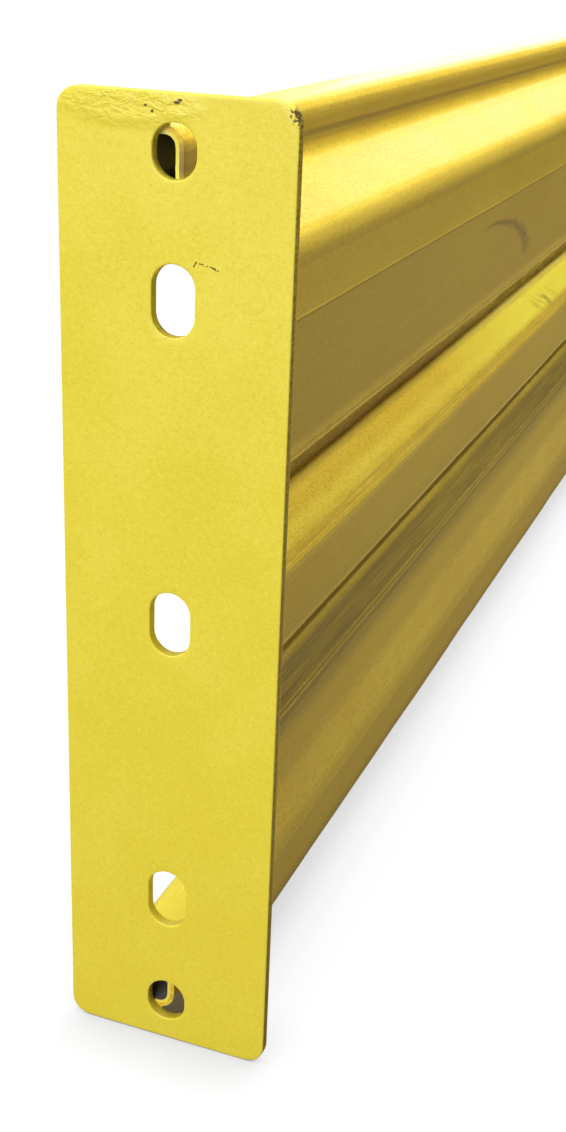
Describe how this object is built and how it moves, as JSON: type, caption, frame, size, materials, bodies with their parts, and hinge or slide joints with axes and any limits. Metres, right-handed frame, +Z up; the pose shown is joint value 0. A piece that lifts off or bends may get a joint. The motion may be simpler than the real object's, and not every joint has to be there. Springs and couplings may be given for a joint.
{
  "type": "industrial guard rail section",
  "caption": "Roll-formed steel guard rail section with broad and narrow ribs, rolled hollow lips and a slotted plate welded across each end for bolting between posts, powder coated yellow.",
  "frame": {"origin": "on the ground plane, midway between the end plates and midway across their width, below the centre of the bounding box", "axes": "+X runs along the rail, the ribs face -Y, +Z is up; the left end is at -X"},
  "size_m": [1.2192, 0.0888, 0.3873],
  "materials": {
    "beam_paint": "gloss yellow powder coat",
    "plate_paint": "gloss yellow powder coat with slight orange peel",
    "weld_paint": "powder coat over weld beads"
  },
  "bodies": {
    "root": {"beam": "beam_paint", "left_plate": "plate_paint", "right_plate": "plate_paint", "left_weld_top_lip": "weld_paint", "left_weld_upper_rib": "weld_paint", "left_weld_middle_rib": "weld_paint", "left_weld_lower_rib": "weld_paint", "left_weld_bottom_lip": "weld_paint", "left_stitch_upper_rib": "weld_paint", "left_stitch_lower_rib": "weld_paint", "right_weld_top_lip": "weld_paint", "right_weld_upper_rib": "weld_paint", "right_weld_middle_rib": "weld_paint", "right_weld_lower_rib": "weld_paint", "right_weld_bottom_lip": "weld_paint", "right_stitch_upper_rib": "weld_paint", "right_stitch_lower_rib": "weld_paint"}
  },
  "joints": []
}
